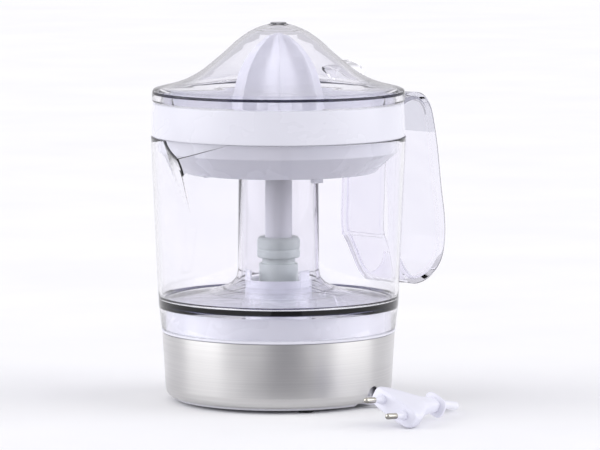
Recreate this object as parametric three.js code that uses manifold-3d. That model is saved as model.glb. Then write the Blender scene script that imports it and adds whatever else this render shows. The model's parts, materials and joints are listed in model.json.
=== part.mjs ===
// Citrus press juicer: a motor base, a clear jug that stands on it, a collector and sieve in
// the jug's mouth, a driven reaming cone and a clear dust lid.
// Millimetres, +Z up. The drive axis is the Z axis, the handle is towards +X and the spout
// towards -X. Heights in this file are measured from the table that the feet stand on; the last
// group drops everything by FOOT_DROP, so that the origin is on the flat underside of the base.
import * as THREE from "three";
import { mergeVertices } from "three/addons/utils/BufferGeometryUtils.js";
import Module from "manifold-3d";

const wasm = await Module();
wasm.setup();

// ---- driving dimensions ----
const GAP = 0.3; // between pieces that touch
const FOOT_DROP = 2; // how far the feet stand below the base's underside

const SLEEVE_TOP = { r: 74.9, z: 44.9 };
const SLEEVE_BOTTOM = { r: 69.9, z: 3.6 };
const SLEEVE_WALL = 0.8;
const RING_R = 75.4; // white ring between the sleeve and the jug
const DECK_Z = 46.8; // where the jug's skirt stands
const PLINTH = { r: 72.2, z: 61.8 }; // fills the jug's skirt
const TOWER_R = 12.5; // bearing tower inside the jug's column
const TOWER_TOP = 88.7;
const NECK = { r: 10.6, top: 94.5 };
const BUSH_R = 6.1;

const JUG_FOOT_Z = 47.4;
const JUG_FOOT_R = 75.3;
const JUG_FLOOR = { r: 77.4, z: 66.2 }; // inside edge of the floor
const JUG_RIM = { r: 81.9, z: 170.7 };
const JUG_WALL = 2.2;
const COLUMN = { r: 25.6, top: 158 };
const SPOUT_TIP = { r: 93, z: 162 };
const SPOUT_FOOT_Z = 122;
const SPOUT_HALF_ANGLE = 20; // degrees, at the rim

const HANDLE_WIDTH = 36;
const HANDLE_REACH = 142; // outermost face, from the axis

const COLLAR_TOP = { r: 80.6, z: 192.7 };
const BASKET = { r: 63, z: 148 };
const CONE_FOOT = { r: 34.5, z: 167.5 };
const CONE_TOP_Z = 236.6;
const CONE_RIBS = 7;
const RIB_TURN = 19.3;
const RIB_STEPS = 5; // facets across one rib
const LID_BRIM = { r: 81.2, z: 193.1 };
const LID_TOP_Z = 243.7;

const SHAFT_R = 4;
const SPINDLE_R = 8.7;
const COUPLER = { r: 13.8, bottom: 92.3, top: 105 };
const PRESS = 2.5; // how far the cone is pressed down to start the motor

const FEET = { ring: 60, r: 5.5, angles: [0, 120, 240] };
const SCREWS = { ring: 60, r: 1.4, head: 2.9, angles: [100, 220, 340] };

const MOTOR = { x: -41.2, y: 0.3, r: 27, bottom: 14, top: 36 };
const IDLER = { x: -26.2, y: 15.1 };
const TEETH = { pinion: 10, idlerLarge: 32, idlerSmall: 12, output: 36 };
const MODULE_FAST = 1; // pinion and large idler gear
const MODULE_SLOW = 1.25; // small idler gear and output gear

const CORD_R = 2.7;
const COIL = { inner: 27.1, outer: 50.2, bottom: 3.7, top: 9.3 };
const CORD_ROUTE = [
  [-13, -52.6, 6.5], [-4.5, -58.9, 6.2], [4, -65.1, 5.6], [12.5, -71.5, 4.6], [21, -79, 3.6],
  [30, -88, 3.0], [36.5, -97, 3.0], [39.2, -106.5, 3.1], [37, -116, 3.6], [30.8, -124, 4.7],
  [22.8, -128.6, 6.2], [14.8, -130.1, 7.6], [7.6, -131.1, 8.5],
];
const NOTCH = { angle: -80.6, half: 6.4, top: 14 };
const PLUG = { x: -43, y: -137.6, z: 12.6, yaw: 187.4, tilt: -27, lift: 4.6 };

// ---- materials ----
const finish = (color, roughness, metalness = 0, opacity = 1) =>
  new THREE.MeshStandardMaterial({ color, roughness, metalness, opacity, transparent: opacity < 1 });
const WHITE = finish("#f1f1f4", 0.3);
const CLEAR = finish("#eceaf5", 0.05, 0, 0.35);
const STEEL = finish("#b9b7b5", 0.32, 1);
const PALE = finish("#dcdce0", 0.45);
const RUBBER = finish("#1d1d20", 0.85);
const NYLON = finish("#ece7d6", 0.5);
const GREEN_GREY = finish("#c3cac8", 0.4);
const BRIGHT = finish("#d9d8d4", 0.18, 1);
const COPPER = finish("#b87340", 0.35, 1);
const CORD = finish("#ecebf3", 0.45);

// ---- solids ----
const rad = (degrees) => (degrees * Math.PI) / 180;
const polar = (r, degrees, z = 0) =>
  new THREE.Vector3(r * Math.cos(rad(degrees)), r * Math.sin(rad(degrees)), z);

// A closed three.js geometry as a Manifold with its faces pointing out.
function solid(geometry) {
  const bare = geometry.index ? geometry : geometry.clone();
  bare.deleteAttribute("normal");
  bare.deleteAttribute("uv");
  const merged = mergeVertices(bare, 1e-4);
  const p = merged.attributes.position.array;
  const index = Array.from(merged.index.array);
  const triangles = [];
  let volume = 0;
  for (let i = 0; i < index.length; i += 3) {
    const [a, b, c] = index.slice(i, i + 3);
    if (a === b || b === c || a === c) continue;
    triangles.push(a, b, c);
    const [A, B, C] = [a, b, c].map((k) => new THREE.Vector3().fromArray(p, 3 * k));
    volume += A.dot(B.cross(C));
  }
  const turned = volume < 0 ? triangles.map((_, i) => triangles[i - (i % 3) + [0, 2, 1][i % 3]]) : triangles;
  return new wasm.Manifold(
    new wasm.Mesh({ numProp: 3, vertProperties: new Float32Array(p), triVerts: new Uint32Array(turned) }),
  );
}

// A solid of revolution about Z from a closed outline of [radius, height].
function turned(outline, segments = 48) {
  const points = [...outline, outline[0]].map(([r, z]) => new THREE.Vector2(Math.max(r, 0), z));
  return solid(new THREE.LatheGeometry(points, segments).rotateX(Math.PI / 2));
}

const ring = (inner, outer, bottom, top, segments = 20) =>
  turned([[inner, bottom], [outer, bottom], [outer, top], [inner, top]], segments);

function disc(r, bottom, top, x = 0, y = 0, segments = 16) {
  const shape = new THREE.CylinderGeometry(r, r, top - bottom, segments).rotateX(Math.PI / 2);
  return solid(shape.translate(x, y, (top + bottom) / 2));
}

function block(x0, x1, y0, y1, z0, z1) {
  const shape = new THREE.BoxGeometry(x1 - x0, y1 - y0, z1 - z0);
  return solid(shape.translate((x0 + x1) / 2, (y0 + y1) / 2, (z0 + z1) / 2));
}

// An outline of [x, y] raised along Z.
function prism(outline, bottom, top) {
  const shape = new THREE.Shape(outline.map(([x, y]) => new THREE.Vector2(x, y)));
  const options = { depth: top - bottom, bevelEnabled: false, curveSegments: 12 };
  return solid(new THREE.ExtrudeGeometry(shape, options).translate(0, 0, bottom));
}

// Rings of the same number of points joined to a closed body, with a flat cap on each end, or
// with its last ring joined to its first.
function lofted(rings, endless = false) {
  const count = rings[0].length;
  const positions = rings.flat().flatMap((v) => [v.x, v.y, v.z]);
  const index = [];
  rings.slice(1).forEach((_, level) => {
    for (let i = 0; i < count; i++) {
      const [a, b] = [level * count + i, level * count + ((i + 1) % count)];
      index.push(a, b, a + count, b, b + count, a + count);
    }
  });
  const last = (rings.length - 1) * count;
  for (let i = 0; endless && i < count; i++) {
    const j = (i + 1) % count;
    index.push(last + i, last + j, i, last + j, j, i);
  }
  for (let i = 1; !endless && i < count - 1; i++) index.push(0, i + 1, i, last, last + i, last + i + 1);
  const geometry = new THREE.BufferGeometry();
  geometry.setAttribute("position", new THREE.Float32BufferAttribute(positions, 3));
  geometry.setIndex(index);
  return solid(geometry);
}

// A round tube along a smooth curve through the points.
function tube(points, r, steps, sides) {
  const section = new THREE.Shape();
  for (let i = 0; i < sides; i++) {
    const at = polar(r, (360 * i) / sides);
    if (i) section.lineTo(at.x, at.y);
    else section.moveTo(at.x, at.y);
  }
  const path = new THREE.CatmullRomCurve3(points.map((p) => new THREE.Vector3(...p)));
  return solid(new THREE.ExtrudeGeometry(section, { steps, extrudePath: path, bevelEnabled: false }));
}

const joined = (...bodies) => bodies.reduce((all, one) => all.add(one));
const hexagon = (r) => [0, 60, 120, 180, 240, 300].map((a) => polar(r, a)).map((v) => [v.x, v.y]);
const around = (angles, make) => angles.map((angle) => make(angle));
const spun = (body, degrees) => body.rotate([0, 0, degrees]);

function named(name, body, material) {
  const { vertProperties, triVerts, numProp } = body.getMesh();
  const geometry = new THREE.BufferGeometry();
  const stride = Array.from({ length: vertProperties.length / numProp }, (_, i) => i * numProp);
  const positions = stride.flatMap((i) => [vertProperties[i], vertProperties[i + 1], vertProperties[i + 2]]);
  geometry.setAttribute("position", new THREE.Float32BufferAttribute(positions, 3));
  geometry.setIndex(Array.from(triVerts));
  geometry.computeVertexNormals();
  const mesh = new THREE.Mesh(geometry, material);
  mesh.name = name;
  return mesh;
}

// ---- base ----
// An upright arch towards the cord outlet, from r0 to r1.
function outletArch(half, top, r0, r1) {
  const straight = block(r0, r1, -half, half, -1, top - half);
  const round = new THREE.CylinderGeometry(half, half, r1 - r0, 20).rotateZ(Math.PI / 2);
  return spun(straight.add(solid(round.translate((r0 + r1) / 2, 0, top - half))), NOTCH.angle);
}

// The tunnel that the cord leaves by, along the cord's own direction.
function cordTunnel(half, bottom, top, r0, r1) {
  const [a, b] = [CORD_ROUTE[0], CORD_ROUTE[3]];
  const angle = THREE.MathUtils.radToDeg(Math.atan2(b[1] - a[1], b[0] - a[0]));
  return spun(block(r0, r1, -half, half, bottom, top), angle).translate([a[0], a[1], 0]);
}

function steelSleeve() {
  const { r: rt, z: zt } = SLEEVE_TOP;
  const { r: rb, z: zb } = SLEEVE_BOTTOM;
  const w = SLEEVE_WALL;
  const outside = [[rb, zb], [71.3, 4.6], [72.3, 6.6], [72.9, 10], [rt, zt]];
  const inside = outside.map(([r, z], i) => [r - w, i ? z + (i < 3 ? 0.25 : 0) : z]).reverse();
  inside[0] = [rt - w, zt];
  return turned([...outside, ...inside], 32).subtract(outletArch(NOTCH.half, NOTCH.top, 60, 80));
}

function baseHousing() {
  const post = (angle) => {
    const at = polar(SCREWS.ring, angle);
    return disc(4.2, 14, 60.5, at.x, at.y, 12).subtract(disc(1.7, 12, 30, at.x, at.y, 8));
  };
  const lug = (angle) => spun(block(18.8, 21.4, -4.5, 4.5, 70, 85), angle);
  const outline = [
    [71.6, 14], [73.6, 44.6], [73.6, 45.2], [RING_R, 45.2], [RING_R, 46.3], [RING_R - 0.5, DECK_Z],
    [PLINTH.r, DECK_Z], [PLINTH.r - 0.5, 60.6], [PLINTH.r - 1.8, PLINTH.z], [23.2, PLINTH.z],
    [21.6, 63.4], [21.4, 78], [19.4, 78], [19.2, 63.6], [13.4, 62.6], [TOWER_R, 64], [TOWER_R, TOWER_TOP],
    [NECK.r, TOWER_TOP], [NECK.r, NECK.top], [BUSH_R + GAP, NECK.top], [BUSH_R + GAP, 84.6],
    [9.9, 84.6], [10.2, 60.4], [20, 59.6], [69.6, 59.6], [70.2, 46], [71.4, 43], [69.6, 14],
  ];
  return joined(turned(outline, 28), ...around(SCREWS.angles, post), ...around([35, 155, 275], lug));
}

function basePlate() {
  const outline = [
    [0, 2], [33.5, 2], [33.5, 3.4], [26.3, 3.4], [26.3, 9.6], [51, 9.6], [51, 2], [67.2, 2], [68.4, 3.2],
    [68.4, 13], [66.6, 13], [66.6, 4.4], [53, 4.4], [53, 11.4], [24.3, 11.4], [24.3, 5.4], [9, 5.4], [9, 16],
    [BUSH_R + GAP, 16], [BUSH_R + GAP, 7], [0, 7],
  ];
  const pad = (angle) => {
    const at = polar(SCREWS.ring, angle);
    return disc(5, 4, 13.4, at.x, at.y, 12);
  };
  const hole = (angle) => {
    const at = polar(SCREWS.ring, angle);
    return disc(1.7, 1, 15, at.x, at.y, 8).add(disc(3.4, 1, 5.4, at.x, at.y, 12));
  };
  const pocket = (angle) => {
    const at = polar(FEET.ring, angle);
    return disc(FEET.r + GAP, 1, 3.1, at.x, at.y, 16);
  };
  const tunnel = cordTunnel(7, 2.7, 12.4, -8, 60).subtract(disc(51.6, 0, 20, 0, 0, 28)).intersect(disc(68, 0, 20, 0, 0, 28));
  return joined(turned(outline, 28), tunnel, ...around(SCREWS.angles, pad))
    .subtract(joined(...around(SCREWS.angles, hole), ...around(FEET.angles, pocket)))
    .subtract(cordTunnel(4.6, 1, 10.4, -14, 70).subtract(disc(40, 0, 20)));
}

function foot(angle) {
  const at = polar(FEET.ring, angle);
  const outline = [[0, 0], [FEET.r - 0.6, 0], [FEET.r, 0.6], [FEET.r, 2.8], [0, 2.8]];
  return turned(outline, 16).translate([at.x, at.y, 0]);
}

function plateScrew(angle) {
  const at = polar(SCREWS.ring, angle);
  const body = disc(SCREWS.head, 3, 5.1, 0, 0, 12).add(disc(SCREWS.r, 5, 27, 0, 0, 8));
  const cross = block(-1.8, 1.8, -0.4, 0.4, 2, 4).add(block(-0.4, 0.4, -1.8, 1.8, 2, 4));
  return body.subtract(cross).translate([at.x, at.y, 0]);
}

// ---- motor and gears ----
const atMotor = (body) => body.translate([MOTOR.x, MOTOR.y, 0]);
const motorScrewAt = [[0, 22], [0, -22]];

function motorCan() {
  const { r, bottom, top } = MOTOR;
  const outline = [[0, bottom], [r, bottom], [r, top], [r - 1, top], [r - 1, bottom + 1], [0, bottom + 1]];
  return atMotor(turned(outline, 28));
}

function motorCover() {
  const { r, top } = MOTOR;
  const plate = joined(disc(r, top + GAP, top + 1.8, 0, 0, 28), block(20, 51, -8, 8, top + GAP, top + 1.8));
  const holes = motorScrewAt.map(([x, y]) => disc(1.8, top, top + 3, x, y, 12));
  return atMotor(plate.subtract(joined(disc(2.6, top, top + 3), disc(5, top, top + 3, 41, -0.5), ...holes)))
    .add(disc(6, top + GAP, top + 1.8, IDLER.x, IDLER.y))
    .subtract(disc(1.9, top, top + 3, IDLER.x, IDLER.y, 16));
}

const motorScrew = ([x, y]) =>
  atMotor(disc(3, MOTOR.top + 2.1, MOTOR.top + 3.6, x, y, 14)
    .add(disc(1.4, MOTOR.top - 8, MOTOR.top + 2.2, x, y, 12)));

const statorCoil = () => atMotor(ring(11, 18.5, MOTOR.bottom + 3, MOTOR.top - 3, 20));
const motorRotor = () =>
  atMotor(disc(9.5, MOTOR.bottom + 3, MOTOR.top - 2, 0, 0, 20)
    .add(disc(1.6, MOTOR.bottom + 1.5, 46.5, 0, 0, 10)));

// A toothed wheel whose teeth are narrow enough to run freely.
function gear(teeth, module, bore, bottom, top, phase = 0) {
  const pitchRadius = (teeth * module) / 2;
  const root = pitchRadius - 1.15 * module;
  const tip = pitchRadius + 0.85 * module;
  const outline = [];
  for (let i = 0; i < teeth; i++) {
    const corners = [[root, -0.27], [tip, -0.1], [tip, 0.1], [root, 0.27]];
    for (const [r, share] of corners) {
      const at = polar(r, ((i + share) * 360) / teeth + phase);
      outline.push([at.x, at.y]);
    }
  }
  return prism(outline, bottom, top).subtract(disc(bore, bottom - 1, top + 1, 0, 0, 20));
}

// The phase that puts a gap of a driven wheel on a tooth of its driver.
function meshPhase(teeth, towards) {
  return towards + 180 / teeth;
}
const bearing = (from, to) => THREE.MathUtils.radToDeg(Math.atan2(to.y - from.y, to.x - from.x));
const AXIS = { x: 0, y: 0 };

const motorPinion = () =>
  atMotor(gear(TEETH.pinion, MODULE_FAST, 1.9, 40.2, 46, bearing(MOTOR, IDLER)));

function idlerGear() {
  const large = gear(TEETH.idlerLarge, MODULE_FAST, 1.8, 41, 45.4,
    meshPhase(TEETH.idlerLarge, bearing(IDLER, MOTOR)));
  const small = gear(TEETH.idlerSmall, MODULE_SLOW, 1.8, 45.4, 57.4, bearing(IDLER, AXIS));
  return large.add(small).translate([IDLER.x, IDLER.y, 0]);
}

const idlerPin = () => disc(1.5, MOTOR.top - 0, 58.6, IDLER.x, IDLER.y, 16)
  .add(disc(3.4, MOTOR.top + 2.1, 40.6, IDLER.x, IDLER.y, 16));

function outputGear() {
  const wheel = gear(TEETH.output, MODULE_SLOW, SHAFT_R + GAP, 49.4, 55.4,
    meshPhase(TEETH.output, bearing(AXIS, IDLER)));
  return wheel.add(ring(SHAFT_R + GAP, 8, 48, 57, 16));
}

function outputShaft() {
  const rod = disc(SHAFT_R, 10.2, 96, 0, 0, 16);
  const collar = disc(6.4, 28.9, 31.5, 0, 0, 16);
  return joined(rod, collar, prism(hexagon(SHAFT_R), 95, 111));
}

const lowerBush = () => ring(SHAFT_R + 0.15, BUSH_R, 7.3, 16.4, 16);
const upperBush = () => ring(SHAFT_R + 0.15, BUSH_R, 84.9, 94.3, 16);
const shaftSeal = () => turned([[4.2, 94.8], [9.6, 94.8], [9.6, 95.4], [5, 95.9], [4.2, 95.9]], 16);

function thrustPlate() {
  const arm = block(6, 35, -4, 4, 27, 28.6);
  return disc(11, 27, 28.6, 0, 0, 20).add(arm).subtract(disc(SHAFT_R + GAP, 20, 40, 0, 0, 16));
}

function returnSpring() {
  const turns = 4;
  const points = [];
  for (let i = 0; i <= turns * 8; i++) {
    const at = polar(7, i * 45, 17.3 + (8.7 * i) / (turns * 8));
    points.push([at.x, at.y, at.z]);
  }
  return tube(points, 0.6, turns * 10, 5);
}

const startSwitch = () => block(27, 47, -4, 4, 11.7, 21.7).subtract(disc(1.8, 18, 23, 31, 0, 10));
const switchPlunger = () => disc(1.4, 19.4, 25.2, 31, 0, 10);

// ---- cord and plug ----
function cordClamp() {
  const saddle = block(12, 30, -50, -42, 11.7, 21).subtract(block(14, 28, -51, -41, 10, 13.4));
  return saddle;
}

const mainsCord = () => tube(CORD_ROUTE, CORD_R, 16, 8);
const mainsCordCoil = () => ring(COIL.inner, COIL.outer, COIL.bottom, COIL.top, 28);

// The plug's own frame has +X along the pins, Y across them, and its face at x = 0.
const PIN_Y = 9.3;
function plugBody() {
  const wide = (x, halfWidth, halfHeight, cut) => {
    const c = [[-1, -cut], [-cut, -1], [cut, -1], [1, -cut], [1, cut], [cut, 1], [-cut, 1], [-1, cut]];
    return c.map(([y, z]) => new THREE.Vector3(x, y * halfWidth, z * halfHeight));
  };
  const body = lofted([
    wide(-33, 6.5, 5, 0.6), wide(-24, 9, 6, 0.6), wide(-12, 15.5, 6.6, 0.7), wide(-3, 17.6, 6.85, 0.72),
    wide(0, 16.9, 6.4, 0.72),
  ]);
  const neck = lofted([wide(-51, 5.2, 4.2, 0.7), wide(-44, 4.6, 4.2, 0.7), wide(-32, 5.6, 4.6, 0.7)]);
  const flange = lofted([wide(-47.5, 8.2, 6.4, 0.75), wide(-45, 8.2, 6.4, 0.75)]);
  const root = (y) => solid(new THREE.CylinderGeometry(2.6, 3.1, 3, 12).rotateZ(-Math.PI / 2)
    .translate(1.4, y, 0));
  const bore = (y) => solid(new THREE.CylinderGeometry(2.2, 2.2, 10, 12).rotateZ(Math.PI / 2)
    .translate(0.5, y, 0));
  return joined(body, neck, flange, root(PIN_Y), root(-PIN_Y)).subtract(bore(PIN_Y).add(bore(-PIN_Y)));
}

function plugPin(side) {
  const straight = new THREE.CylinderGeometry(1.9, 1.9, 21, 12).rotateZ(Math.PI / 2).translate(6.5, 0, 0);
  const end = new THREE.SphereGeometry(1.9, 12, 4).translate(17, 0, 0);
  return solid(straight).add(solid(end)).translate([0, side * PIN_Y, 0]);
}

// ---- jug ----
function spoutOutline(inset) {
  const levels = 5;
  const rings = [];
  for (let i = 0; i <= levels; i++) {
    const t = i / levels;
    const z = SPOUT_FOOT_Z + (JUG_RIM.z - SPOUT_FOOT_Z) * t;
    const wall = 79.6 + (JUG_RIM.r - 79.6) * t;
    const keel = wall + (SPOUT_TIP.r + 3.2 - wall) * t ** 0.9 - inset * 1.5;
    const half = Math.max(SPOUT_HALF_ANGLE * t ** 0.8 - inset * 0.75, 0.4);
    const [root, tip] = [wall - 5, Math.max(keel, wall - 4)];
    const side = [0.5, 0.82, 1].map((s) => polar(wall + (tip - wall) * s, half * (1 - s) ** 0.75, z));
    const right = [polar(root, half, z), polar(wall - 0.4, half, z), side[0], side[1]];
    const left = right.map((v) => new THREE.Vector3(v.x, -v.y, v.z)).reverse();
    rings.push([...right, side[2], ...left].map((v) => new THREE.Vector3(-v.x, v.y, v.z)));
  }
  return lofted(rings);
}

function jugBody() {
  const w = JUG_WALL;
  const outline = [
    [JUG_FOOT_R - w, JUG_FOOT_Z], [JUG_FOOT_R, JUG_FOOT_Z], [JUG_FLOOR.r - 0.2, 62], [JUG_FLOOR.r, 66],
    [JUG_RIM.r, JUG_RIM.z], [JUG_RIM.r - w, JUG_RIM.z], [JUG_FLOOR.r - w + 0.1, 68.4],
    [JUG_FLOOR.r - w - 1.6, JUG_FLOOR.z], [45, 70.6], [30.4, 76.2], [27.2, 79.6], [26.1, 85],
    [COLUMN.r, COLUMN.top], [COLUMN.r - 2, COLUMN.top], [24, 84], [25, 78.4], [28.6, 74], [44, 68.2],
    [JUG_FLOOR.r - 4.2, 63.2], [JUG_FLOOR.r - w - 0.3, 62],
  ];
  const body = turned(outline, 32);
  const above = block(-130, -60, -60, 60, 100, JUG_RIM.z);
  const inside = turned([[0, 90], [76.8, 90], [JUG_RIM.r - w + 0.1, JUG_RIM.z], [0, JUG_RIM.z]], 32);
  const outer = spoutOutline(0).intersect(above).subtract(inside);
  const channel = spoutOutline(2).translate([2.2, 0, 2.5]);
  const dip = prism([[-84, 60], [-84, -60], [-110, -60], [-110, 60]], 0, 30)
    .rotate([0, 38, 0]).translate([-38, 0, 117]);
  return joined(body, outer).subtract(channel).subtract(dip);
}

// The handle is a band bent into a closed loop in the XZ plane, thicker along both edges.
function jugHandle() {
  const outside = [
    [82.5, 167], [88, 176.5], [100, 184.5], [112, 188], [121, 187.5], [127.5, 182], [131, 172], [135, 155],
    [138, 130], [HANDLE_REACH - 0.6, 112], [HANDLE_REACH, 97], [140.4, 84], [136, 75.4], [127, 68],
    [116, 65.2], [107, 66.5], [99, 74], [92, 85], [86.6, 93.6], [82.2, 100], [80.5, 108], [81, 124],
    [81.8, 145],
  ];
  const loop = new THREE.CatmullRomCurve3(
    outside.map(([x, z]) => new THREE.Vector3(x, 0, z)), true, "centripetal");
  const half = HANDLE_WIDTH / 2;
  const lip = half - 2.6;
  // The band's section: [depth inwards, across], with a lip along each edge.
  const section = [[0, -half + 1], [0, half - 1], [1, half], [5, half], [5, lip], [2.8, lip - 1],
    [2.8, -lip + 1], [5, -lip], [5, -half], [1, -half]];
  const steps = 28;
  const points = loop.getPoints(steps).slice(0, -1);
  const rings = points.map((p, i) => {
    const along = points[(i + 1) % steps].clone().sub(points[(i + steps - 1) % steps]).normalize();
    return section.map(([depth, y]) => new THREE.Vector3(p.x + depth * along.z, y, p.z - depth * along.x));
  });
  return lofted(rings, true);
}

// ---- collector, sieve, cone, lid ----
function slots(count, width, r0, r1, bottom, top) {
  const one = block(r0, r1, -width / 2, width / 2, bottom, top);
  return joined(...Array.from({ length: count }, (_, i) => spun(one, (360 * (i + 0.5)) / count)));
}

function juiceCollector() {
  const rim = JUG_RIM.z + GAP;
  const outline = [
    [JUG_RIM.r - 0.5, rim], [JUG_RIM.r - 0.5, rim + 1.6], [COLLAR_TOP.r, COLLAR_TOP.z - 1],
    [COLLAR_TOP.r - 0.5, COLLAR_TOP.z], [COLLAR_TOP.r - 2.4, COLLAR_TOP.z], [76.6, 172], [74.6, 163],
    [61, 150.2], [28.4, 150.2], [28.4, 162.2], [18.4, 162.2], [18.4, 168], [16.8, 168], [16.8, 160.3],
    [26.2, 160.3], [26.2, BASKET.z], [BASKET.r - 1, BASKET.z], [BASKET.r, 148.8], [77, 161.6], [78.6, rim],
  ];
  const lug = (angle) => spun(block(44, 48, -3.4, 3.4, 144, 149), angle);
  return turned(outline, 28).subtract(slots(8, 3.6, 33, 56, 145, 152)).add(joined(...around([15, 135, 255], lug)));
}

function sieveInsert() {
  const outline = [
    [28.8, 150.6], [60, 150.6], [66, 156.2], [66, 157.8], [59.4, 152.2], [30.4, 152.2], [30.4, 164.4],
    [20.6, 164.4], [20.6, 170], [14.5, 170], [14.5, 168.4], [19, 168.4], [19, 162.6], [28.8, 162.6],
  ];
  return turned(outline, 28).subtract(slots(14, 2.4, 34, 57, 149, 154));
}

const hubBush = () =>
  turned([[9, 158.6], [14, 158.6], [14, 170.3], [16.6, 170.3], [16.6, 171.6], [9, 171.6]], 20);
const pressWasher = () => ring(9, 13.6, 174.6, 175.9, 20);

function driveSpindle() {
  const outline = [
    [0, 99], [11.4, 99], [11.4, COUPLER.bottom], [COUPLER.r - 0.4, COUPLER.bottom], [COUPLER.r, 93],
    [COUPLER.r, 103.6], [COUPLER.r - 1, COUPLER.top], [SPINDLE_R + 0.8, COUPLER.top + 0.4],
    [SPINDLE_R, 107], [SPINDLE_R, 176.2], [0, 176.2],
  ];
  return joined(turned(outline, 24), prism(hexagon(7), 176, 190))
    .subtract(prism(hexagon(SHAFT_R + 0.45), 90, 114))
    .subtract(disc(3, 113, 192, 0, 0, 16));
}

function cone() {
  const heights = [0, 8, 24, 36, 46, 54, 60, 64.6, 67.6, CONE_TOP_Z - CONE_FOOT.z];
  const radii = [CONE_FOOT.r, 33, 30.4, 28.3, 24.9, 20.6, 15.6, 10.4, 5, 1.2];
  const steps = CONE_RIBS * RIB_STEPS;
  const rings = heights.map((h, level) => {
    const flute = 3.8 * Math.min(1, h / 8) * Math.min(1, radii[level] / 16);
    return Array.from({ length: steps }, (_, i) => {
      const valley = Math.sin((Math.PI * (i % RIB_STEPS)) / RIB_STEPS) ** 0.9;
      return polar(radii[level] - flute * valley, (360 * i) / steps + RIB_TURN, CONE_FOOT.z + h);
    });
  });
  const hollow = turned([
    [0, 166], [CONE_FOOT.r - 3, 166], [24.4, 196], [20, 209], [12, 219], [0, 224],
  ], 24);
  const hub = disc(10.6, 176.5, 226, 0, 0, 24).subtract(prism(hexagon(7.45), 170, 191));
  const skirt = turned([
    [CONE_FOOT.r - 2.8, CONE_FOOT.z], [CONE_FOOT.r + 1.5, CONE_FOOT.z], [CONE_FOOT.r + 1.5, CONE_FOOT.z + 1.6],
    [CONE_FOOT.r - 2.8, CONE_FOOT.z + 3],
  ], 28);
  return joined(lofted(rings).subtract(hollow), hub, skirt);
}

function lid() {
  const outside = [
    [LID_BRIM.r, LID_BRIM.z], [LID_BRIM.r, 199], [78.5, 201.8], [67.6, 204.4], [57.2, 208.2], [46, 215.4],
    [36.1, 223.8], [24.3, 234.2], [16.1, 239.4], [5.3, 242.8], [5, LID_TOP_Z], [0, LID_TOP_Z],
  ];
  const inside = [
    [0, 241], [14.8, 237.8], [23, 232.6], [34.6, 222.2], [44.8, 213.5], [56.4, 206.4], [67.1, 202.6],
    [76, 200.4], [76.4, 198], [75.2, 189], [76.4, 189], [77.6, LID_BRIM.z],
  ];
  const hood = (r, width, lift) => {
    const arch = (x, half, top) => Array.from({ length: 9 }, (_, i) => {
      const a = (Math.PI * i) / 8;
      return new THREE.Vector3(x, half * Math.cos(a), top - (top - 200) * (1 - Math.sin(a)));
    });
    return lofted([arch(r, width * 0.8, 210 + lift), arch(r + 10, width, 214.6 + lift),
      arch(r + 20, width, 216 + lift)]);
  };
  const shell = turned([...outside, ...inside], 32);
  const bulk = turned([...outside, [0, LID_BRIM.z]], 32);
  const pull = hood(48, 12, 0).subtract(hood(51, 10, -1.8)).subtract(bulk.translate([0, 0, -0.6]));
  return shell.add(pull);
}

// ---- assembly ----
const juicer = new THREE.Group();
juicer.position.z = -FOOT_DROP;
juicer.add(
  named("steel_sleeve", steelSleeve(), STEEL),
  named("base_housing", baseHousing(), WHITE),
  named("base_plate", basePlate(), PALE),
  ...FEET.angles.map((angle, i) => named(`foot_${i + 1}`, foot(angle), RUBBER)),
  ...SCREWS.angles.map((angle, i) => named(`plate_screw_${i + 1}`, plateScrew(angle), STEEL)),
  named("motor_can", motorCan(), STEEL),
  named("motor_cover", motorCover(), STEEL),
  ...motorScrewAt.map((at, i) => named(`motor_screw_${i + 1}`, motorScrew(at), STEEL)),
  named("stator_coil", statorCoil(), COPPER),
  named("motor_rotor", motorRotor(), STEEL),
  named("motor_pinion", motorPinion(), NYLON),
  named("idler_pin", idlerPin(), STEEL),
  named("idler_gear", idlerGear(), NYLON),
  named("output_gear", outputGear(), NYLON),
  named("output_shaft", outputShaft(), STEEL),
  named("lower_bush", lowerBush(), BRIGHT),
  named("upper_bush", upperBush(), BRIGHT),
  named("shaft_seal", shaftSeal(), RUBBER),
  named("thrust_plate", thrustPlate(), NYLON),
  named("return_spring", returnSpring(), STEEL),
  named("start_switch", startSwitch(), RUBBER),
  named("switch_plunger", switchPlunger(), WHITE),
  named("cord_clamp", cordClamp(), NYLON),
  named("mains_cord", mainsCord(), CORD),
  named("mains_cord_coil", mainsCordCoil(), CORD),
  named("jug_body", jugBody(), CLEAR),
  named("jug_handle", jugHandle(), CLEAR),
  named("juice_collector", juiceCollector(), WHITE),
  named("sieve_insert", sieveInsert(), WHITE),
  named("hub_bush", hubBush(), NYLON),
  named("press_washer", pressWasher(), NYLON),
  named("drive_spindle", driveSpindle(), GREEN_GREY),
  named("cone", cone(), WHITE),
  named("lid", lid(), CLEAR),
);

const plug = new THREE.Group();
plug.position.set(PLUG.x, PLUG.y, PLUG.z);
plug.rotation.set(rad(PLUG.tilt), -rad(PLUG.lift), rad(PLUG.yaw), "ZYX");
plug.add(
  named("plug_body", plugBody(), CORD),
  named("plug_pin_1", plugPin(1), BRIGHT),
  named("plug_pin_2", plugPin(-1), BRIGHT),
);
juicer.add(plug);

export default juicer;
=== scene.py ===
import json
import math

import bpy
from mathutils import Euler, Matrix, Vector


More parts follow.
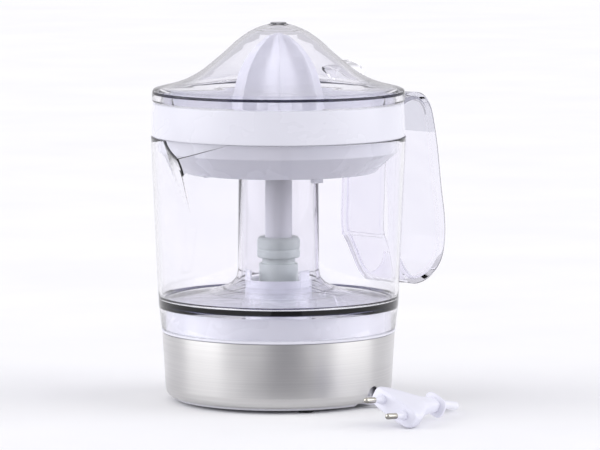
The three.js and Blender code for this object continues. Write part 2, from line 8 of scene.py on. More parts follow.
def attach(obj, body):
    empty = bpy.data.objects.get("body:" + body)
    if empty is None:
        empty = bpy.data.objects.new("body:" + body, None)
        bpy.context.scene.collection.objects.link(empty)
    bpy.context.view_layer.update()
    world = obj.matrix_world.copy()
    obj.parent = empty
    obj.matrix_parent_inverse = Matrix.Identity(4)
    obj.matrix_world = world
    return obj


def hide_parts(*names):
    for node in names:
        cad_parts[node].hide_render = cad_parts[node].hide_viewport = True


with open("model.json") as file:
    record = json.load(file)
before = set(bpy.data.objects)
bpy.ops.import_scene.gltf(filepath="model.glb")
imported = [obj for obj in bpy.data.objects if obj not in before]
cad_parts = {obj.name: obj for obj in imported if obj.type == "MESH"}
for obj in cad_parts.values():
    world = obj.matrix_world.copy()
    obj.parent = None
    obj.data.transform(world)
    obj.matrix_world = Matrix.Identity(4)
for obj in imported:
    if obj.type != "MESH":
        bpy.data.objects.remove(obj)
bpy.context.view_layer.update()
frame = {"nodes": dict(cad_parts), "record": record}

# Citrus press juicer: a motor base in a brushed steel sleeve, a clear jug that stands on it, a
# white collector with its sieve in the jug's mouth, a ribbed cone and a clear dust lid.
# Outlines are in millimetres, with heights from the table that the feet stand on.
nodes = frame["nodes"]

MM = 0.001
FOOT_DROP = 2.0  # the feet reach this far below the frame's zero
TURN = 2 * math.pi

scene = bpy.context.scene
scene.view_settings.view_transform = "Standard"


# ---- camera ----
CAMERA_AZIMUTH = math.radians(-47.0)
CAMERA_DISTANCE = 3.0
CAMERA_HEIGHT = 0.4232
CAMERA_SIDESTEP = 0.0138  # the juicer stands a little left of the middle
CAMERA_PITCH = math.radians(5.94)

bpy.ops.object.camera_add()
camera = bpy.context.object
camera.name = "studio_camera"
camera.data.lens = 281.4
camera.data.sensor_width = 36.0
camera.data.clip_end = 60.0
towards_juicer = Vector((-math.sin(CAMERA_AZIMUTH), math.cos(CAMERA_AZIMUTH), 0))
to_the_right = Vector((math.cos(CAMERA_AZIMUTH), math.sin(CAMERA_AZIMUTH), 0))
standpoint = -towards_juicer * CAMERA_DISTANCE + to_the_right * CAMERA_SIDESTEP
camera.location = standpoint + Vector((0, 0, CAMERA_HEIGHT))
camera.rotation_euler = (math.pi / 2 - CAMERA_PITCH, 0, CAMERA_AZIMUTH)
scene.camera = camera


# ---- working in edit mode ----
def deselect():
    for other in list(bpy.context.selected_objects):
        other.select_set(False)


def make_active(piece):
    deselect()
    piece.select_set(True)
    bpy.context.view_layer.objects.active = piece


def edit(piece):
    make_active(piece)
    bpy.ops.object.mode_set(mode="EDIT")


def leave_edit():
    bpy.ops.object.mode_set(mode="OBJECT")


def clean(piece, merge=1e-6):
    """Merges doubles and turns every face outwards."""
    edit(piece)
    bpy.ops.mesh.select_all(action="SELECT")
    bpy.ops.mesh.remove_doubles(threshold=merge)
    bpy.ops.mesh.normals_make_consistent(inside=False)
    leave_edit()
    return piece


def smooth(piece, degrees=32):
    make_active(piece)
    bpy.ops.object.shade_smooth_by_angle(angle=math.radians(degrees))
    return piece


def choose_faces(piece, wanted):
    """Leaves edit mode, selects the faces whose centre and normal pass, and goes back in."""
    leave_edit()
    mesh = piece.data
    for vertex in mesh.vertices:
        vertex.select = False
    for edge in mesh.edges:
        edge.select = False
    for face in mesh.polygons:
        face.select = bool(wanted(face))
    bpy.ops.object.mode_set(mode="EDIT")
    bpy.ops.mesh.select_mode(type="FACE")


def choose_vertices(piece, wanted):
    """Leaves edit mode, selects the vertices that pass, and goes back in."""
    leave_edit()
    for face in piece.data.polygons:
        face.select = False
    for edge in piece.data.edges:
        edge.select = False
    for vertex in piece.data.vertices:
        vertex.select = bool(wanted(vertex))
    bpy.ops.object.mode_set(mode="EDIT")
    bpy.ops.mesh.select_mode(type="VERT")


def apply_modifier(piece, kind, **settings):
    make_active(piece)
    modifier = piece.modifiers.new(kind.lower(), kind)
    for key, value in settings.items():
        setattr(modifier, key, value)
    bpy.ops.object.modifier_apply(modifier=modifier.name)
    return piece


def cut(piece, cutter, operation="DIFFERENCE"):
    apply_modifier(piece, "BOOLEAN", operation=operation, object=cutter, solver="MANIFOLD")
    bpy.data.objects.remove(cutter)
    return piece


def rounded_edges(piece, width, segments=2, degrees=35):
    return apply_modifier(
        piece, "BEVEL", width=width * MM, segments=segments, limit_method="ANGLE",
        angle_limit=math.radians(degrees), use_clamp_overlap=True,
    )


def softened(outline, radius, closed=True, arc=3):
    """The outline with each corner turned into a short arc, as a mould has."""
    points = [Vector(p) for p in outline]
    result = []
    count = len(points)
    for i, point in enumerate(points):
        if not closed and i in (0, count - 1):
            result.append(point)
            continue
        before, after = points[i - 1] - point, points[(i + 1) % count] - point
        turn = math.pi - before.angle(after)
        if turn < math.radians(4) or point.x < 1e-6:
            result.append(point)
            continue
        reach = min(radius * math.tan(turn / 2), before.length * 0.45, after.length * 0.45)
        start, end = point + before.normalized() * reach, point + after.normalized() * reach
        for k in range(arc + 1):
            t = k / arc
            result.append(start * (1 - t) ** 2 + point * 2 * t * (1 - t) + end * t ** 2)
    return [(p.x, p.y) for p in result]


def turned(name, outline, steps=128, closed=True):
    """An outline of (radius, height) drawn point by point and spun about the drive axis."""
    points = [Vector((r, 0, z - FOOT_DROP)) * MM for r, z in outline]
    deselect()
    bpy.ops.mesh.primitive_plane_add(size=MM)
    piece = bpy.context.object
    piece.name = name
    bpy.ops.object.mode_set(mode="EDIT")
    bpy.ops.mesh.select_mode(type="VERT")
    bpy.ops.mesh.select_all(action="SELECT")
    bpy.ops.mesh.merge(type="CENTER")
    bpy.ops.transform.translate(value=points[0])
    path = points[1:] + points[:1] if closed else points[1:]
    here = points[0]
    for point in path:
        bpy.ops.mesh.extrude_region_move(TRANSFORM_OT_translate={"value": point - here})
        here = point
    bpy.ops.mesh.select_all(action="SELECT")
    bpy.ops.mesh.remove_doubles(threshold=1e-7)
    bpy.ops.mesh.select_all(action="SELECT")
    bpy.ops.mesh.spin(steps=steps, angle=TURN, center=(0, 0, 0), axis=(0, 0, 1))
    leave_edit()
    return clean(piece)


def bar(name, corner_a, corner_b, degrees=0.0):
    """A block between two corners, in millimetres from the table, turned about the drive axis."""
    deselect()
    a, b = Vector(corner_a) * MM, Vector(corner_b) * MM
    bpy.ops.mesh.primitive_cube_add(size=1, location=(0, 0, 0))
    piece = bpy.context.object
    piece.name = name
    middle = (a + b) / 2 - Vector((0, 0, FOOT_DROP * MM))
    size = [abs(v) for v in b - a]
    piece.data.transform(
        Matrix.Rotation(math.radians(degrees), 4, "Z")
        @ Matrix.Translation(middle)
        @ Matrix.Diagonal((*size, 1))
    )
    return piece


def rod(name, radius, bottom, top, x=0.0, y=0.0, sides=32):
    """An upright rod, in millimetres from the table."""
    deselect()
    bpy.ops.mesh.primitive_cylinder_add(
        vertices=sides, radius=radius * MM, depth=(top - bottom) * MM, location=(0, 0, 0)
    )
    piece = bpy.context.object
    piece.name = name
    middle = Vector((x, y, (top + bottom) / 2 - FOOT_DROP)) * MM
    piece.data.transform(Matrix.Translation(middle))
    return piece


def joined(name, pieces):
    deselect()
    for piece in pieces:
        piece.select_set(True)
    bpy.context.view_layer.objects.active = pieces[0]
    bpy.ops.object.join()
    pieces[0].name = name
    return pieces[0]


def copies_round(piece, angles):
    """Copies of a piece about the drive axis, each with its own mesh."""
    made = []
    for angle in angles:
        twin = piece.copy()
        twin.data = piece.data.copy()
        scene.collection.objects.link(twin)
        twin.data.transform(Matrix.Rotation(math.radians(angle), 4, "Z"))
        made.append(twin)
    bpy.data.objects.remove(piece)
    return made


# ---- materials ----
def srgb(code):
    """An sRGB hex value as the linear colour that a shader takes."""
    channels = [int(code[i : i + 2], 16) / 255 for i in (1, 3, 5)]
    linear = [c / 12.92 if c <= 0.04045 else ((c + 0.055) / 1.055) ** 2.4 for c in channels]
    return (*linear, 1.0)


def new_material(name):
    material = bpy.data.materials.new(name)
    material.use_nodes = True
    tree = material.node_tree
    return material, tree, tree.nodes["Principled BSDF"]


def add_node(tree, kind, settings=None, links=None):
    """Adds one node. A setting is a property or an input's value, and a link feeds an input."""
    node = tree.nodes.new(kind)
    for key, value in (settings or {}).items():
        if isinstance(key, str) and key not in node.inputs:
            setattr(node, key, value)
        else:
            node.inputs[key].default_value = value
    for key, source in (links or {}).items():
        tree.links.new(source, node.inputs[key])
    return node


def set_ramp(node, stops):
    ramp = node.color_ramp
    while len(ramp.elements) < len(stops):
        ramp.elements.new(0.5)
    for element, (position, colour) in zip(ramp.elements, stops):
        element.position = position
        element.color = colour


def brushed_stainless():
    """430 stainless, ground round and round with a fine belt: long level scratches, a satin
    sheen that spreads up and down, brighter and darker streaks."""
    material, tree, shader = new_material("brushed_stainless_430")
    place = add_node(tree, "ShaderNodeTexCoord").outputs["Object"]
    # Belt scratches are about 0.1 mm apart, drawn 0.8 mm apart so that they show.
    stretch = add_node(tree, "ShaderNodeMapping", {"Scale": (9, 9, 1900)}, {"Vector": place})
    scratches = add_node(
        tree, "ShaderNodeTexNoise", {"Scale": 1.0, "Detail": 3.0, "Roughness": 0.6},
        {"Vector": stretch.outputs["Vector"]},
    )
    broad = add_node(tree, "ShaderNodeMapping", {"Scale": (14, 14, 190)}, {"Vector": place})
    streaks = add_node(
        tree, "ShaderNodeTexNoise", {"Scale": 1.0, "Detail": 2.0},
        {"Vector": broad.outputs["Vector"]},
    )
    blend = add_node(
        tree, "ShaderNodeMath", {"operation": "MULTIPLY_ADD", 1: 0.35},
        {0: streaks.outputs["Fac"], 2: scratches.outputs["Fac"]},
    )
    tone = add_node(tree, "ShaderNodeValToRGB", links={"Fac": blend.outputs["Value"]})
    set_ramp(tone, [(0.40, srgb("#cac9c9")), (0.68, srgb("#d0cfce")), (1.0, srgb("#d6d5d4"))])
    dull = add_node(
        tree, "ShaderNodeMapRange",
        {"From Min": 0.3, "From Max": 1.0, "To Min": 0.34, "To Max": 0.28},
        {"Value": blend.outputs["Value"]},
    )
    bump = add_node(
        tree, "ShaderNodeBump", {"Strength": 0.06, "Distance": 0.0001},
        {"Height": scratches.outputs["Fac"]},
    )
    round_axis = add_node(tree, "ShaderNodeTangent", {"direction_type": "RADIAL", "axis": "Z"})
    shader.inputs["Metallic"].default_value = 1.0
    shader.inputs["Anisotropic"].default_value = 0.75
    shader.inputs["Anisotropic Rotation"].default_value = 0.25
    tree.links.new(tone.outputs["Color"], shader.inputs["Base Color"])
    tree.links.new(dull.outputs["Result"], shader.inputs["Roughness"])
    tree.links.new(bump.outputs["Normal"], shader.inputs["Normal"])
    tree.links.new(round_axis.outputs["Tangent"], shader.inputs["Tangent"])
    return material


def moulded_plastic(name, pale, deep, rough_low, rough_high, grain_mm, grain_depth):
    """An opaque injection moulding: an even colour that drifts a little with the flow of the
    melt, a skin that is glossier or duller in patches, and a fine grain from the mould."""
    material, tree, shader = new_material(name)
    place = add_node(tree, "ShaderNodeTexCoord").outputs["Object"]
    flow = add_node(
        tree, "ShaderNodeTexNoise", {"Scale": 28.0, "Detail": 3.0, "Distortion": 0.4},
        {"Vector": place},
    )
    tone = add_node(tree, "ShaderNodeValToRGB", links={"Fac": flow.outputs["Fac"]})
    set_ramp(tone, [(0.3, srgb(deep)), (0.7, srgb(pale))])
    dull = add_node(
        tree, "ShaderNodeMapRange",
        {"From Min": 0.3, "From Max": 0.7, "To Min": rough_low, "To Max": rough_high},
        {"Value": flow.outputs["Fac"]},
    )
    grain = add_node(
        tree, "ShaderNodeTexNoise", {"Scale": 1 / (grain_mm * MM), "Detail": 2.0}, {"Vector": place}
    )
    bump = add_node(
        tree, "ShaderNodeBump", {"Strength": 0.2, "Distance": grain_depth * MM},
        {"Height": grain.outputs["Fac"]},
    )
    tree.links.new(tone.outputs["Color"], shader.inputs["Base Color"])
    tree.links.new(dull.outputs["Result"], shader.inputs["Roughness"])
    tree.links.new(bump.outputs["Normal"], shader.inputs["Normal"])
    shader.inputs["IOR"].default_value = 1.52
    return material


def clear_moulding(name, tint, bands=(), ior=1.5):
    """Styrene acrylonitrile, clear, injection moulded: bright gloss, a trace of lilac, faint
    flow waves, and level bands of painted shade and painted reflection: a darker colour painted
    over the tint in place of the dark of the room that thick corners reflect. Each band is (lowest
    height, highest height, smallest radius, colour), in millimetres. A thin wall bends what is
    behind it less than a thick one, so its index is set lower."""
    material, tree, shader = new_material(name)
    place = add_node(tree, "ShaderNodeTexCoord").outputs["Object"]
    axes = add_node(tree, "ShaderNodeSeparateXYZ", links={"Vector": place})
    flow = add_node(
        tree, "ShaderNodeTexNoise", {"Scale": 16.0, "Detail": 2.0, "Distortion": 0.6},
        {"Vector": place},
    )
    tone = add_node(tree, "ShaderNodeValToRGB", links={"Fac": flow.outputs["Fac"]})
    set_ramp(tone, [(0.3, srgb(tint[0])), (0.7, srgb(tint[1]))])
    colour = tone.outputs["Color"]
    # Each band paints its darker colour over the tint in a level ring: painted shade and
    # reflection, not a colour of the plastic.
    for low, high, radius, code in bands:
        flat = add_node(
            tree, "ShaderNodeCombineXYZ", links={"X": axes.outputs["X"], "Y": axes.outputs["Y"]}
        )
        span = add_node(
            tree, "ShaderNodeVectorMath", {"operation": "LENGTH"}, {0: flat.outputs["Vector"]}
        )
        out = add_node(
            tree, "ShaderNodeMath", {"operation": "GREATER_THAN", 1: radius * MM},
            {0: span.outputs["Value"]},
        )
        middle, half = (low + high) / 2 - FOOT_DROP, (high - low) / 2
        level = add_node(
            tree, "ShaderNodeMath", {"operation": "COMPARE", 1: middle * MM, 2: half * MM},
            {0: axes.outputs["Z"]},
        )
        both = add_node(
            tree, "ShaderNodeMath", {"operation": "MULTIPLY"},
            {0: out.outputs[0], 1: level.outputs[0]},
        )
        mix = add_node(
            tree, "ShaderNodeMix", {"data_type": "RGBA", "blend_type": "MIX"},
            {"Factor": both.outputs[0]},
        )
        tree.links.new(colour, mix.inputs[6])
        mix.inputs[7].default_value = srgb(code)
        colour = mix.outputs[2]
    bump = add_node(
        tree, "ShaderNodeBump", {"Strength": 0.05, "Distance": 0.0004},
        {"Height": flow.outputs["Fac"]},
    )
    tree.links.new(colour, shader.inputs["Base Color"])
    tree.links.new(bump.outputs["Normal"], shader.inputs["Normal"])
    shader.inputs["Transmission Weight"].default_value = 1.0
    shader.inputs["Roughness"].default_value = 0.02
    shader.inputs["IOR"].default_value = ior
    # Lamps light what stands behind the clear walls, as thin mouldings let them.
    path = add_node(tree, "ShaderNodeLightPath")
    passed = add_node(tree, "ShaderNodeBsdfTransparent", {"Color": srgb("#fdfdff")})
    either = add_node(tree, "ShaderNodeMixShader", links={0: path.outputs["Is Shadow Ray"]})
    tree.links.new(shader.outputs["BSDF"], either.inputs[1])
    tree.links.new(passed.outputs["BSDF"], either.inputs[2])
    tree.links.new(either.outputs["Shader"], tree.nodes["Material Output"].inputs["Surface"])
    return material


def plated_metal(name, pale, deep, rough, grain_mm):
    """Sheet, wire or pin with a bright plating: mirror-like with a fine drawn grain and small
    dull patches."""
    material, tree, shader = new_material(name)
    place = add_node(tree, "ShaderNodeTexCoord").outputs["Object"]
    grain = add_node(
        tree, "ShaderNodeTexNoise", {"Scale": 1 / (grain_mm * MM), "Detail": 4.0}, {"Vector": place}
    )
    tone = add_node(tree, "ShaderNodeValToRGB", links={"Fac": grain.outputs["Fac"]})
    set_ramp(tone, [(0.3, srgb(deep)), (0.7, srgb(pale))])
    dull = add_node(
        tree, "ShaderNodeMapRange",
        {"From Min": 0.3, "From Max": 0.7, "To Min": rough, "To Max": rough * 1.6},
        {"Value": grain.outputs["Fac"]},
    )
    shader.inputs["Metallic"].default_value = 1.0
    tree.links.new(tone.outputs["Color"], shader.inputs["Base Color"])
    tree.links.new(dull.outputs["Result"], shader.inputs["Roughness"])
    return material


def wound_copper():
    """Enamelled copper wire, wound tight: fine level turns with a varnish gloss."""
    material, tree, shader = new_material("enamelled_copper_winding")
    place = add_node(tree, "ShaderNodeTexCoord").outputs["Object"]
    # Wire of 0.5 mm, one band a turn.
    turns = add_node(
        tree, "ShaderNodeTexWave",
        {"wave_type": "BANDS", "bands_direction": "Z", "Scale": 320.0, "Distortion": 0.6},
        {"Vector": place},
    )
    # Each turn is painted dark in the groove between turns and bright on its crown, in step with
    # the bump: painted shade and painted highlight across the round wire.
    tone = add_node(tree, "ShaderNodeValToRGB", links={"Fac": turns.outputs["Fac"]})
    set_ramp(tone, [(0.1, srgb("#6d3416")), (0.8, srgb("#c9783c"))])
    bump = add_node(
        tree, "ShaderNodeBump", {"Strength": 0.6, "Distance": 0.0003},
        {"Height": turns.outputs["Fac"]},
    )
    shader.inputs["Metallic"].default_value = 0.9
    shader.inputs["Roughness"].default_value = 0.3
    tree.links.new(tone.outputs["Color"], shader.inputs["Base Color"])
    tree.links.new(bump.outputs["Normal"], shader.inputs["Normal"])
    return material


def studio_floor():
    """Matt painted board: near white with a barely mottled coat."""
    material, tree, shader = new_material("painted_board")
    place = add_node(tree, "ShaderNodeTexCoord").outputs["Object"]
    mottle = add_node(tree, "ShaderNodeTexNoise", {"Scale": 6.0, "Detail": 3.0}, {"Vector": place})
    tone = add_node(tree, "ShaderNodeValToRGB", links={"Fac": mottle.outputs["Fac"]})
    set_ramp(tone, [(0.3, srgb("#f6f6f8")), (0.7, srgb("#fafafb"))])
    shader.inputs["Roughness"].default_value = 0.9
    shader.inputs["Specular IOR Level"].default_value = 0.1
    tree.links.new(tone.outputs["Color"], shader.inputs["Base Color"])
    return material


STEEL = brushed_stainless()
WHITE = moulded_plastic("moulded_white_abs", "#e0e0e9", "#dddde6", 0.22, 0.32, 0.35, 0.01)
# The cone is the same white plastic as the collar, given a darker copy of it: painted shade.
SHADED_CONE_WHITE = moulded_plastic("moulded_white_abs_cone_painted_shade", "#d5d5df", "#cdcdd8", 0.3, 0.4, 0.35, 0.01)
PALE = moulded_plastic("moulded_pale_abs", "#e0e0e6", "#d8d8df", 0.38, 0.5, 0.5, 0.03)
GREY_GREEN = moulded_plastic(
    "moulded_acetal_grey_green", "#c6cdcb", "#bdc5c3", 0.35, 0.45, 0.4, 0.02
)
SPINDLE = moulded_plastic("moulded_acetal_white", "#dadae0", "#d2d2d9", 0.25, 0.35, 0.4, 0.01)
NYLON = moulded_plastic("moulded_natural_nylon", "#ece6d4", "#ded6c0", 0.4, 0.5, 0.6, 0.03)
BLACK_PLASTIC = moulded_plastic(
    "moulded_black_phenolic", "#1b1b1e", "#131315", 0.35, 0.5, 0.4, 0.03
)
RUBBER = moulded_plastic("moulded_black_rubber", "#1f1f22", "#161618", 0.7, 0.85, 0.6, 0.06)
CORD_PVC = moulded_plastic("extruded_white_pvc", "#ececf4", "#e6e6ef", 0.35, 0.45, 1.2, 0.02)
PLUG_PVC = moulded_plastic("moulded_white_pvc", "#ebebf5", "#e4e4f0", 0.3, 0.42, 0.9, 0.02)
# The jug's band from 63 to 66.5 mm outside 72 mm is a painted dark line: painted reflection of the
# room's dark in the thick floor corner.
CLEAR = clear_moulding(
    "moulded_clear_san", ("#fafafd", "#fdfcfe"), [(63.0, 66.5, 72.0, "#23233c")], 1.42
)
# The handle's arched top is thicker. The handle is tinted a little darker than the jug, and from
# 166 mm up it is painted greyer still: painted shade.
SHADED_CLEAR_HANDLE = clear_moulding(
    "moulded_clear_san_handle_painted_shade", ("#f3f2f9", "#f6f5fb"), [(166, 200, 0.0, "#dfdfe7")], 1.16
)
# The lid's band at the brim's corner is a painted near-black line: painted reflection of the room's
# dark where the bell meets the brim.
CLEAR_LID = clear_moulding(
    "moulded_clear_san_lid_painted_dark_line", ("#fafafd", "#fdfcfe"), [(198.2, 200.0, 78.5, "#0c0c16")], 1.3
)
PLATED = plated_metal("zinc_plated_steel", "#c9cacb", "#9fa1a4", 0.22, 0.8)
NICKEL = plated_metal("nickel_plated_brass", "#dcd9d0", "#b9b5aa", 0.12, 0.5)
BRONZE = plated_metal("sintered_bronze", "#c39a62", "#8e6a3c", 0.38, 0.25)
COPPER = wound_copper()


def dress(piece, material):
    piece.data.materials.clear()
    piece.data.materials.append(material)
    return piece


def settle(piece, material, body, replaced=(), angle=32):
    """Gives a finished piece its finish, its body and the CAD nodes that it stands for."""
    dress(piece, material)
    if piece.type == "MESH":
        smooth(piece, angle)
    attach(piece, body)
    if replaced:
        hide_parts(*replaced)
    return piece


# ---- mains cord and plug ----
CORD_D = 0.0054
CORD_ROUTE = [
    (-0.013, -0.0526, 0.0065), (-0.0045, -0.0589, 0.0062), (0.004, -0.0651, 0.0056),
    (0.0125, -0.0715, 0.0046), (0.021, -0.079, 0.0036), (0.030, -0.088, 0.0030),
    (0.0365, -0.097, 0.0030), (0.0392, -0.1065, 0.0031), (0.037, -0.116, 0.0036),
    (0.0308, -0.124, 0.0047), (0.0228, -0.1286, 0.0062), (0.0148, -0.1301, 0.0076),
    (0.0076, -0.1311, 0.0085),
]
COIL_Z = 0.0065
COIL_START_R, COIL_END_R = 0.0299, 0.0474
COIL_PITCH = 0.00558
COIL_END_ANGLE = math.radians(-118)
ENTRY_ANGLE = math.radians(75)  # the lead's last bend into the hub
ENTRY_R = 0.0245
POINTS_A_TURN = 36


def catmull_rom(points, steps):
    """Points along a smooth curve through the given ones."""
    ends = [points[0] * 2 - points[1], *points, points[-1] * 2 - points[-2]]
    line = []
    for i in range(1, len(ends) - 2):
        a, b, c, d = ends[i - 1 : i + 3]
        for k in range(steps):
            t = k / steps
            line.append(
                0.5 * (2 * b + (c - a) * t + (2 * a - 5 * b + 4 * c - d) * t * t
                       + (3 * b - 3 * c + d - a) * t ** 3)
            )
    return [*line, points[-1]]


def coil_points():
    """The turns in the store, from the hub outwards."""
    turns = (COIL_END_R - COIL_START_R) / COIL_PITCH
    count = int(turns * POINTS_A_TURN)
    points = []
    entry = int(POINTS_A_TURN * ENTRY_ANGLE / TURN)
    for i in range(-entry, count + 1):
        angle = COIL_END_ANGLE + TURN * (i - count) / POINTS_A_TURN
        share = max(0.0, -i / entry)
        radius = COIL_START_R + COIL_PITCH * max(i, 0) / POINTS_A_TURN
        radius += (ENTRY_R - COIL_START_R) * share ** 1.6
        points.append(Vector((radius * math.cos(angle), radius * math.sin(angle), COIL_Z)))
    return points


def cord_curve():
    """The whole lead as one round curve: the stored turns, the channel, and the bend outside."""
    drop = Vector((0, 0, FOOT_DROP * MM))
    route = [Vector(p) for p in CORD_ROUTE]
    coil = coil_points()
    bridge = catmull_rom([coil[-2], coil[-1], *route], 4)[4:]
    line = [p - drop for p in coil[:-1] + bridge]
    curve = bpy.data.curves.new("mains_lead", "CURVE")
    curve.dimensions = "3D"
    spline = curve.splines.new("POLY")
    spline.points.add(len(line) - 1)
    for point, place in zip(spline.points, line):
        point.co = (*place, 1)
    spline.use_smooth = True
    curve.bevel_depth = CORD_D / 2
    curve.bevel_resolution = 4
    curve.use_fill_caps = True
    lead = bpy.data.objects.new("mains_lead", curve)
    scene.collection.objects.link(lead)
    return lead


PLUG_PLACE = Vector((-43.0, -137.6, 12.6 - FOOT_DROP)) * MM
PLUG_ROLL, PLUG_LIFT, PLUG_YAW = (math.radians(angle) for angle in (-27, -4.6, 187.4))
PLUG_TURN = Euler((PLUG_ROLL, PLUG_LIFT, PLUG_YAW), "XYZ")
PLUG_MATRIX = Matrix.Translation(PLUG_PLACE) @ PLUG_TURN.to_matrix().to_4x4()
PIN_Y = 9.3  # each pin from the plug's middle, in millimetres


SQUARENESS = 0.72  # how far a fully square section leaves the oval


def oval_loft(name, sections, sides=40):
    """A rounded block pushed out from section to section: (x, half width, half height, how
    square from 0 to 1), in millimetres."""
    deselect()
    bpy.ops.mesh.primitive_circle_add(vertices=sides, radius=MM, fill_type="NGON")
    piece = bpy.context.object
    piece.name = name
    upright = Matrix.Rotation(math.pi / 2, 4, "Y")
    piece.data.transform(Matrix.Translation((sections[0][0] * MM, 0, 0)) @ upright)
    edit(piece)
    bpy.ops.mesh.select_all(action="SELECT")
    for before, after in zip(sections, sections[1:]):
        step = ((after[0] - before[0]) * MM, 0, 0)
        bpy.ops.mesh.extrude_region_move(TRANSFORM_OT_translate={"value": step})
    leave_edit()
    for vertex in piece.data.vertices:
        x = vertex.co.x / MM
        _, wide, high, square = min(sections, key=lambda section: abs(section[0] - x))
        angle = math.atan2(vertex.co.z, vertex.co.y)
        bend = 1 - SQUARENESS * square
        vertex.co.y = wide * MM * math.copysign(abs(math.cos(angle)) ** bend, math.cos(angle))
        vertex.co.z = high * MM * math.copysign(abs(math.sin(angle)) ** bend, math.sin(angle))
    return clean(piece)


def plug_moulding():
    """A flat two-pin plug: wide face, waist, grip flange at the tail, a collar round each pin."""
    body = oval_loft("plug_moulding", [
        (-51, 3.6, 3.4, 0.2), (-50.6, 4.4, 4.0, 0.3), (-47.6, 4.8, 4.2, 0.3),
        (-47.4, 7.6, 5.8, 0.6), (-47, 8.2, 6.4, 0.6), (-45.4, 8.2, 6.4, 0.6), (-45, 7.6, 5.8, 0.6),
        (-44.8, 4.8, 4.3, 0.4), (-36, 5.4, 4.6, 0.5), (-31, 6.4, 5.1, 0.5), (-27, 7.6, 5.6, 0.5),
        (-22, 9.8, 6.1, 0.55), (-16, 13.3, 6.5, 0.6), (-11, 15.9, 6.7, 0.65),
        (-6, 17.2, 6.85, 0.68), (-3, 17.6, 6.85, 0.7), (-1.2, 17.4, 6.7, 0.7),
        (-0.4, 16.9, 6.4, 0.7), (0, 16.2, 5.9, 0.7),
    ], 48)
    collars = []
    for y in (-PIN_Y, PIN_Y):
        collar = oval_loft("collar", [
            (-1, 3.1, 3.1, 0), (0.2, 3.1, 3.1, 0), (2.4, 2.7, 2.7, 0), (2.9, 2.2, 2.2, 0),
            (3.2, 2.05, 2.05, 0), (8.8, 2.0, 2.0, 0), (9.1, 1.8, 1.8, 0),
        ], 32)
        collar.data.transform(Matrix.Translation((0, y * MM, 0)))
        collars.append(collar)
    cut(body, joined("collars", collars), "UNION")
    return body


def plug_contact(number, side):
    """A round pin with a domed end, sleeved near the plug by the moulding."""
    pin = oval_loft(f"plug_contact_{number}", [
        (-1, 1.7, 1.7, 0), (8, 1.9, 1.9, 0), (17, 1.9, 1.9, 0), (17.8, 1.72, 1.72, 0),
        (18.5, 1.25, 1.25, 0), (18.85, 0.6, 0.6, 0),
    ], 32)
    pin.data.transform(PLUG_MATRIX @ Matrix.Translation((0, side * PIN_Y * MM, 0)))
    return settle(pin, NICKEL, "root", [f"plug_pin_{number}"])


# ---- pieces turned about the drive axis ----
OUTLET_TURN, OUTLET_HALF, OUTLET_MIDDLE = -80.6, 6.4, 7.6  # degrees, and millimetres
OUTLET_DROP = 12  # how far the arch's lower half is pulled down, past the sleeve's foot


def motor_sleeve():
    """The steel band, with the arched opening that the lead comes out of."""
    outside = [(69.9, 3.6), (71.3, 4.6), (72.3, 6.6), (72.9, 10), (74.9, 44.9)]
    inside = [(74.1, 44.9), (72.1, 10.2), (71.5, 6.9), (70.5, 5.0), (69.1, 3.6)]
    sleeve = turned("steel_sleeve_skin", softened(outside + inside, 3.0), 192)
    arch = rod("arch", OUTLET_HALF, -10, 10, sides=48)
    wall = Matrix.Translation(Vector((70, 0, OUTLET_MIDDLE - FOOT_DROP)) * MM)
    arch.data.transform(
        Matrix.Rotation(math.radians(OUTLET_TURN), 4, "Z") @ wall
        @ Matrix.Rotation(math.pi / 2, 4, "Y") @ Matrix.Translation((0, 0, FOOT_DROP * MM))
    )
    edit(arch)
    low = (OUTLET_MIDDLE - FOOT_DROP - 0.1) * MM
    choose_vertices(arch, lambda vertex: vertex.co.z < low)
    bpy.ops.transform.translate(value=(0, 0, -OUTLET_DROP * MM))
    leave_edit()
    cut(sleeve, arch)
    return settle(clean(sleeve), STEEL, "root", ["steel_sleeve"])


def housing():
    """The white moulding: wall, bright ring, plinth and locating collar; the tower stands in it."""
    outline = [
        (71.6, 14), (73.6, 44.6), (73.6, 45.2), (75.4, 45.2), (75.4, 46.3), (74.9, 46.8),
        (72.2, 46.8), (71.7, 60.6), (70.4, 61.8), (23.2, 61.8), (21.6, 63.4), (21.4, 78),
        (19.4, 78), (19.2, 63.6), (12, 62.6), (11, 62.2), (11, 60.2), (20, 59.6),
        (69.6, 59.6), (70.2, 46), (71.4, 43), (69.6, 14),
    ]
    shell = turned("motor_housing", softened(outline, 0.8), 160)
    lug = bar("lug", (19.9, -4.5, 70), (21.1, 4.5, 85))
    lugs = joined("lugs", copies_round(lug, [35, 155, 275]))
    cut(shell, lugs, "UNION")
    tower = turned("bearing_tower", softened([
        (10.9, 60.6), (12.3, 62.8), (12.5, 64), (12.5, 88.2), (12, 88.7), (10.6, 88.7),
        (10.6, 94.1), (10.2, 94.5), (6.4, 94.5), (6.4, 84.6), (9.9, 84.2), (9.9, 60.6),
    ], 0.5), 96)
    settle(tower, GREY_GREEN, "root")
    return settle(clean(shell), WHITE, "root", ["base_housing"])


